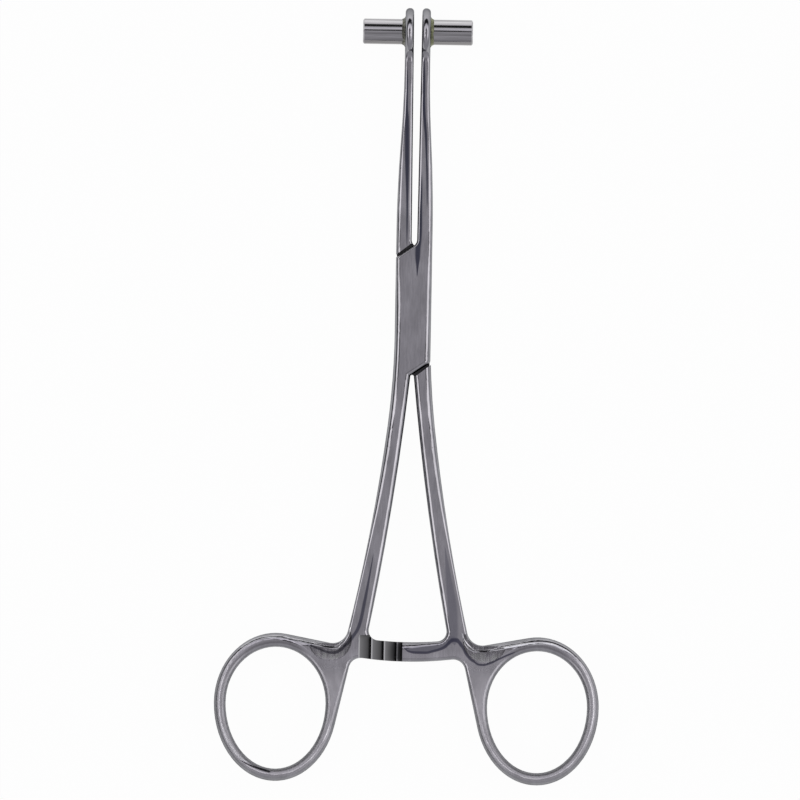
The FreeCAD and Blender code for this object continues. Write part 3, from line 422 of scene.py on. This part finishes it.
# the painted light and shade on each half: reflection streaks, dark lines, soft shade, highlight lines and
# black shade
box_marks = [
    ("Y", blue_reflection, 0.9, [(6.5, 0.66, 0), (9, 0.72, 0.25), (12.3, 0.75, 0.55), (14, 0.95, 0.5), (17, 1.2, 0.35),
                      (22, 1.25, 0.22), (26, 1.3, 0.12), (29, 1.3, 0)]),
    ("Y", blue_reflection, 0.9, [(20, 2.5, 0), (24, 2.45, 0.12), (28.7, 2.33, 0.18), (32, 2.17, 0.2),
                      (35, 2.05, 0.25), (38.5, 1.75, 0.28), (41.8, 1.48, 0.3), (46.7, 1.4, 0.3),
                      (50, 1.35, 0.2), (53, 1.35, 0)]),
    ("Y", dark_reflection_line, 0.8, [(-69.4, -13.1, 0), (-68.6, -12.35, 0.5), (-67.4, -11.4, 0.45), (-65, -10.0, 0.38),
                      (-59.6, -8.85, 0.32), (-55, -8.05, 0.2), (-49, -7.1, 0)]),
    ("X", dark_reflection_line, 0.8, [(-25.3, -67.45, 0), (-21.8, -68.25, 0.16), (-18.3, -69.7, 0.22), (-15.3, -70.5, 0.28),
                      (-13.6, -69.85, 0.4), (-12.35, -68.6, 0)]),
    ("X", bright, 0.9, [(-34.5, -70.0, 0), (-33, -69.2, 0.15), (-30, -67.8, 0.2), (-25.3, -67.45, 0.22),
                        (-21, -68.35, 0.24), (-17.5, -69.1, 0.2), (-15, -69.46, 0.25), (-13.6, -68.6, 0.35),
                        (-12.4, -67.06, 0.45), (-11.5, -65.0, 0)]),
    ("X", black, 0.95, [(-18, -69.1, 0), (-17, -69.25, 0.16), (-16.2, -69.35, 0.2), (-15.4, -69.4, 0.16),
                        (-14.8, -69.3, 0)]),
    ("X", bright, 0.8, [(-38.2, -84.0, 0), (-36.8, -88.0, 0.3), (-35.3, -90.7, 0.3), (-33.5, -92.6, 0.2),
                        (-32, -93.4, 0)]),
    ("X", black, 0.95, [(-34.2, -92.5, 0), (-33, -93.35, 0.1), (-31, -94.2, 0.18), (-29.3, -94.72, 0.26),
                        (-28.2, -95.05, 0.22), (-27.4, -95.25, 0)]),
]
through_marks = [
    ("Y", blue_reflection, 0.9, [(12, -1.5, 0), (16, -1.55, 0.12), (22, -1.6, 0.2), (27, -1.7, 0.34),
                      (31, -1.8, 0.44), (38.5, -1.95, 0.46), (41.8, -2.1, 0.32), (45.1, -2.1, 0.25),
                      (48, -2.0, 0.1), (51, -2, 0)]),
    ("Y", shade, 0.7, [(-68.6, 9.7, 0), (-67.5, 9.5, 0.7), (-65, 9.4, 1.0), (-61, 9.1, 1.0), (-56, 8.4, 0.7),
                       (-48, 7.3, 0)]),
    ("X", shade, 0.85, [(-1.2, -68.7, 0), (0, -69.2, 0.6), (3, -69.3, 0.85), (6, -68.8, 0.85),
                        (8, -67.9, 0.9), (10, -67.0, 0)]),
    ("X", dark_reflection_line, 0.85, [(-1.0, -68.9, 0), (-0.4, -69.5, 0.15), (0.4, -70.0, 0.22), (2, -70.2, 0.27),
                       (3.6, -70.2, 0.27), (5.3, -69.85, 0.27), (6.9, -69.35, 0.3), (7.9, -68.75, 0.42),
                       (8.6, -68.0, 0.5), (9.6, -67.5, 0.4), (10.8, -68.2, 0.6), (12.1, -70.3, 0.5),
                       (13.7, -71.8, 0.32), (15.4, -72.5, 0.22), (16.9, -72.15, 0.24), (18.8, -71.25, 0.22),
                       (21.8, -69.95, 0.16), (24, -69.4, 0)]),
    ("X", bright, 0.9, [(11.1, -66.0, 0), (11.5, -67.2, 0.4), (12.1, -68.37, 0.42), (13.2, -69.32, 0.3),
                        (14.1, -69.67, 0.2), (16.9, -69.5, 0.12), (19, -69.1, 0.22), (21.7, -68.6, 0.25),
                        (24.5, -68.1, 0.25), (28, -67.9, 0.2), (32, -69.0, 0.18), (34.5, -70.5, 0)]),
    ("X", black, 0.95, [(14.0, -69.6, 0), (14.8, -69.65, 0.18), (15.6, -69.7, 0.24), (16.4, -69.6, 0.17),
                        (17.2, -69.5, 0)]),
]
for node, seed, marks in (("box_half", 3.0, box_marks), ("through_half", 8.0, through_marks)):
    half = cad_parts[node]
    half.data.materials[0] = satin_steel(f"{node}_steel", seed, marks)

# Pivot pin
# A steel rivet through the lock, on which the two halves turn. It is ground flush with
# the box and polished with it, so that it hardly shows.
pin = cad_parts["pivot_pin"]
pin.data.materials[0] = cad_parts["box_half"].data.materials[0]

# Guide tubes
# Short lengths of drawn stainless tube, polished along their length, with plain open ends.
# Each is brazed to the pad at the tip of its jaw.


def tube_steel(name):
    """Bright drawn tube with faint lines along X, with painted light and dark strips along it, set by which
    way the surface faces.
    """
    material = bpy.data.materials.new(name)
    material.use_nodes = True
    tree = material.node_tree
    shader = tree.nodes["Principled BSDF"]
    shader.inputs["Metallic"].default_value = 1.0
    normal = split(tree, tree.nodes.new("ShaderNodeNewGeometry").outputs["Normal"])
    # painted reflection and shade: lighter and darker strips, by how far the surface faces toward the tips
    toward_tips = step(tree, normal["Y"], -1.0, 1.0, smooth=False)
    stops = [(0.0, (0.21, 0.20, 0.20))]
    for stop, level in ((0.16, 0.27), (0.27, 0.38), (0.40, 0.52), (0.80, 0.40), (0.90, 0.66),
                        (0.965, 0.34)):
        stops.append((stop, (level, level * 0.98, level * 1.01)))
    stops.append((1.0, (0.38, 0.37, 0.38)))
    painted_light_strips = ramp(tree, toward_tips, stops)
    place = tree.nodes.new("ShaderNodeTexCoord").outputs["Object"]
    lines = noise(tree, place, (160, 3800, 3800))
    uneven = step(tree, lines, 0.3, 0.7, 0.80, 1.18, smooth=False)
    tree.links.new(scaled(tree, painted_light_strips, uneven), shader.inputs["Base Color"])
    shine = step(tree, lines, 0.0, 1.0, 0.05, 0.16, smooth=False)
    tree.links.new(shine, shader.inputs["Roughness"])
    tree.links.new(bump(tree, lines, 0.15, 0.00002), shader.inputs["Normal"])
    return material


for side in ("right", "left"):
    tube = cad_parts[f"{side}_guide_tube"]
    tube.data.materials[0] = tube_steel(f"{side}_guide_tube_steel")

# Braze at the tube roots
# Brazing metal that ran into the corner between each tube and its pad and cooled there,
# uneven in width, dull olive on the right and darker on the left.


def braze_metal(name, bright, dark):
    """Uneven dull brazing metal between two colours."""
    material = bpy.data.materials.new(name)
    material.use_nodes = True
    tree = material.node_tree
    shader = tree.nodes["Principled BSDF"]
    shader.inputs["Metallic"].default_value = 0.85
    shader.inputs["Roughness"].default_value = 0.45
    place = tree.nodes.new("ShaderNodeTexCoord").outputs["Object"]
    blots = tree.nodes.new("ShaderNodeTexNoise")
    blots.inputs["Scale"].default_value = 1800.0
    blots.inputs["Detail"].default_value = 3.0
    tree.links.new(place, blots.inputs["Vector"])
    blot = blots.outputs["Fac"]
    tree.links.new(ramp(tree, blot, [(0.35, dark), (0.65, bright)]), shader.inputs["Base Color"])
    tree.links.new(bump(tree, blot, 0.5, 0.0001), shader.inputs["Normal"])
    return material


braze_colours = {
    "right": ((0.29, 0.30, 0.18), (0.11, 0.12, 0.07)),
    "left": ((0.24, 0.24, 0.20), (0.06, 0.06, 0.05)),
}
# the fillet's section, from the pad outwards: how far from the pad, how far beyond the tube
section = [
    (0.00, 0.62),
    (0.08, 0.42),
    (0.20, 0.25),
    (0.38, 0.12),
    (0.60, 0.04),
    (0.72, -0.05),
    (0.30, -0.12),
    (-0.05, -0.12),
]
lumpy = bpy.data.textures.new("braze_lumps", "CLOUDS")
lumpy.noise_scale = 0.0011
lumpy.noise_depth = 2
for side, way, body in (("right", 1, "box_side"), ("left", -1, "through_side")):
    low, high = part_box(f"{side}_braze_ring")
    root = low[0] if way > 0 else high[0]
    centre = ((low[1] + high[1]) / 2, (low[2] + high[2]) / 2)
    tube_low, tube_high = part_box(f"{side}_guide_tube")
    tube_radius = (tube_high[2] - tube_low[2]) / 2
    bpy.ops.object.select_all(action="DESELECT")
    radii = [tube_radius + beyond / 1000 for _, beyond in section]
    bpy.ops.mesh.primitive_circle_add(vertices=72, radius=radii[0], location=(root, *centre),
                                      rotation=(0, math.pi / 2, 0))
    braze = bpy.context.object
    braze.name = f"{side}_braze"
    bpy.ops.object.transform_apply(location=True, rotation=True, scale=True)
    bpy.ops.object.mode_set(mode="EDIT")
    bpy.ops.mesh.select_all(action="SELECT")
    for index in range(1, len(section)):
        outward = way * (section[index][0] - section[index - 1][0]) / 1000
        bpy.ops.mesh.extrude_edges_move(TRANSFORM_OT_translate={"value": (outward, 0, 0)})
        share = radii[index] / radii[index - 1]
        at = (root + way * section[index][0] / 1000, *centre)
        bpy.ops.transform.resize(value=(1, share, share), center_override=at)
    bpy.ops.mesh.select_all(action="DESELECT")
    bpy.ops.mesh.select_mode(type="VERT")
    bpy.ops.mesh.select_non_manifold()
    bpy.ops.mesh.bridge_edge_loops()
    bpy.ops.mesh.select_all(action="SELECT")
    bpy.ops.mesh.normals_make_consistent(inside=False)
    bpy.ops.object.mode_set(mode="OBJECT")
    lumps = braze.modifiers.new("lumps", "DISPLACE")
    lumps.texture = lumpy
    lumps.strength = 0.00028
    lumps.mid_level = 0.5
    bpy.ops.object.modifier_apply(modifier="lumps")
    bpy.ops.object.shade_smooth()
    braze.data.materials.append(braze_metal(f"{side}_braze_metal", *braze_colours[side]))
    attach(braze, body)
    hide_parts(f"{side}_braze_ring")
